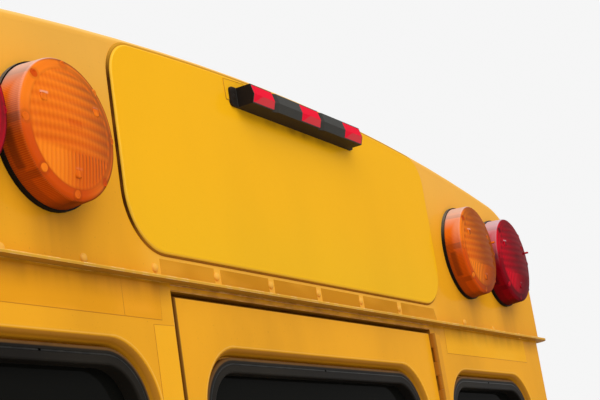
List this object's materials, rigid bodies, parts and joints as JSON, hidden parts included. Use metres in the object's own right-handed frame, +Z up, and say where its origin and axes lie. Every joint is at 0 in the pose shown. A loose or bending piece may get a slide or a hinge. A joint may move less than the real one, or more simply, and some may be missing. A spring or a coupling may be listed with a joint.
{
  "type": "school bus rear end section",
  "caption": "Rear end of a small school bus body: crowned roof cap with warning lamps and a blank sign plate, rear walls with windows, and a hinged emergency door.",
  "frame": {"origin": "centre of the floor crossmember's front face, where the section is bolted to the rest of the body", "axes": "+X to the right as seen from behind, +Y towards the front of the bus, +Z up"},
  "size_m": [2.074, 0.44, 2.3538],
  "materials": {
    "yellow_paint": "gloss",
    "sign_sheeting": "satin",
    "amber_lens": "gloss",
    "red_lens": "gloss",
    "clear_lens": "gloss",
    "black_rubber": "matt",
    "black_plastic": "satin",
    "black_paint": "satin",
    "dark_glass": "gloss",
    "reflector": "satin",
    "steel": "satin",
    "lining": "satin",
    "floor_rubber": "matt",
    "red_paint": "satin"
  },
  "bodies": {
    "shell": {"amber_lens_left": "amber_lens", "amber_lens_right": "amber_lens", "body_posts": "lining", "bumper": "black_paint", "bumper_brackets": "black_paint", "door_frame": "lining", "door_header": "yellow_paint", "drip_rail": "yellow_paint", "floor_crossmember": "black_paint", "floor_panel": "floor_rubber", "hinge_leaf_frame": "yellow_paint", "hinge_pin": "steel", "lamp_gaskets": "black_rubber", "lamp_reflectors": "reflector", "light_bar_housing": "black_plastic", "light_bar_lenses": "red_lens", "lower_panel": "yellow_paint", "rear_reflectors": "red_lens", "rear_wall_left": "yellow_paint", "rear_wall_right": "yellow_paint", "red_lens_left": "red_lens", "red_lens_right": "red_lens", "reversing_lenses": "clear_lens", "roof_bow": "lining", "roof_cap": "yellow_paint", "rub_rails": "black_paint", "side_wall_left": "yellow_paint", "side_wall_right": "yellow_paint", "sign_plate": "sign_sheeting", "stop_lenses": "red_lens", "tail_lenses": "red_lens", "turn_lenses": "amber_lens", "window_gasket_left": "black_rubber", "window_gasket_right": "black_rubber", "window_glass_left": "dark_glass", "window_glass_right": "dark_glass"},
    "emergency_door": {"door_panel": "yellow_paint", "door_window_gasket": "black_rubber", "door_window_glass": "dark_glass", "door_seal": "black_rubber", "hinge_leaf_door": "yellow_paint", "handle_plate": "steel", "outside_handle": "steel", "latch_case": "steel", "release_lever": "red_paint"}
  },
  "joints": [
    {"name": "emergency_door_hinge", "type": "hinge", "parent": "shell", "child": "emergency_door", "pos_m": [0.414, -0.3054, 0.79], "axis": [0, 0, 1], "range_deg": [0, 110]}
  ]
}
